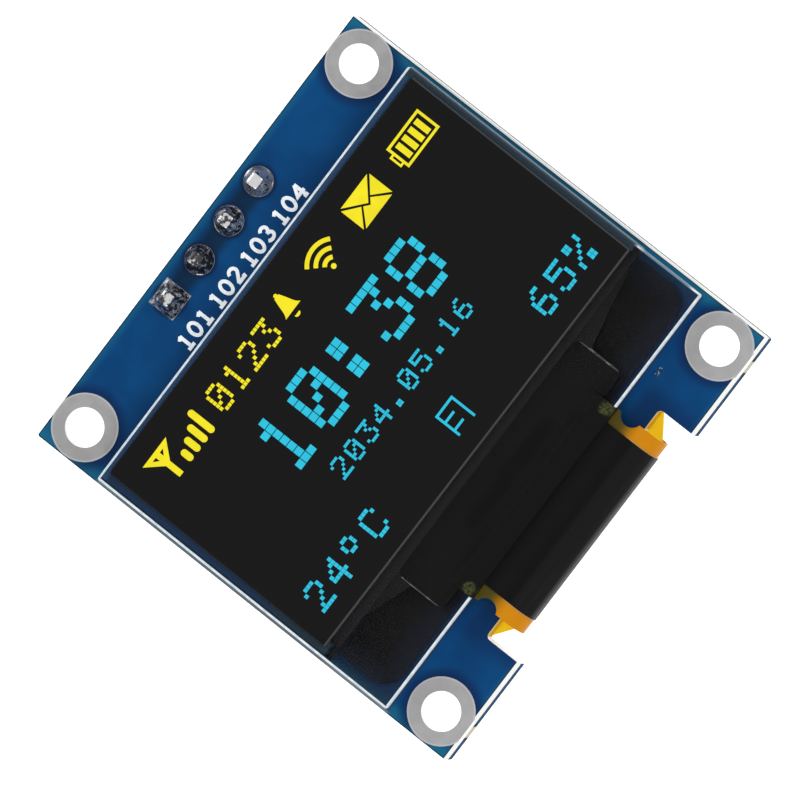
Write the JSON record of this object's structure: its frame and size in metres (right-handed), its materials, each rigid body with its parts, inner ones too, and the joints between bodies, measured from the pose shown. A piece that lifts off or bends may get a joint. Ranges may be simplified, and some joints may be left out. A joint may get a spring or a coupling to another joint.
{
  "type": "small oled display module",
  "caption": "Small square circuit board carrying a lit monochrome OLED glass panel, its folded flex tail and a pin header, with mounting holes in the corners.",
  "frame": {"origin": "centre of the four mounting holes, on the board's rear face", "axes": "+Z out of the screen, +Y towards the header edge, +X to the right seen from the screen"},
  "size_m": [0.0274, 0.0274, 0.0115],
  "materials": {
    "board": "glossy blue solder mask over pale glass-fibre laminate",
    "tinned_ring": "matt tinned copper",
    "solder": "bright, slightly frosted solder",
    "pin_metal": "plated square wire",
    "header_plastic": "black moulded plastic",
    "foam": "black double-sided foam",
    "rear_glass": "metallised rear glass",
    "seal_glue": "cured glue",
    "emitter": "dark mirror-like layer",
    "front_glass": "clear glass with ground edges",
    "polarizer": "smooth near-black film",
    "chip_silicon": "dark polished silicon",
    "black_film": "smooth black adhesive film",
    "flex_film": "amber polyimide film over copper tracks",
    "resistor_body": "black glazed ceramic",
    "capacitor_body": "tan ceramic",
    "end_metal": "tinned metal",
    "chip_plastic": "black moulded resin"
  },
  "bodies": {
    "root": {"pcb": "board", "mount_ring_1": "tinned_ring", "mount_ring_2": "tinned_ring", "mount_ring_3": "tinned_ring", "mount_ring_4": "tinned_ring", "header_pad_1": "tinned_ring", "header_pad_2": "tinned_ring", "header_pad_3": "tinned_ring", "header_pad_4": "tinned_ring", "solder_joint_1": "solder", "solder_joint_2": "solder", "solder_joint_3": "solder", "solder_joint_4": "solder", "header_pin_1": "pin_metal", "header_pin_2": "pin_metal", "header_pin_3": "pin_metal", "header_pin_4": "pin_metal", "header_body": "header_plastic", "foam_pad": "foam", "cap_glass": "rear_glass", "edge_seal": "seal_glue", "emitter_layer": "emitter", "substrate_glass": "front_glass", "polarizer": "polarizer", "driver_chip": "chip_silicon", "chip_cover": "black_film", "flex": "flex_film", "flex_tape": "black_film", "flex_solder": "solder", "resistor_1": "resistor_body", "resistor_2": "resistor_body", "resistor_3": "resistor_body", "resistor_4": "resistor_body", "resistor_5": "resistor_body", "resistor_6": "resistor_body", "resistor_7": "resistor_body", "resistor_8": "resistor_body", "capacitor_1": "capacitor_body", "capacitor_2": "capacitor_body", "capacitor_3": "capacitor_body", "capacitor_4": "capacitor_body", "capacitor_5": "capacitor_body", "capacitor_6": "capacitor_body", "capacitor_7": "capacitor_body", "resistor_ends": "end_metal", "capacitor_ends": "end_metal", "regulator_body": "chip_plastic", "regulator_leads": "end_metal", "diode_body": "chip_plastic", "diode_leads": "end_metal", "rear_solder": "solder"}
  },
  "joints": []
}
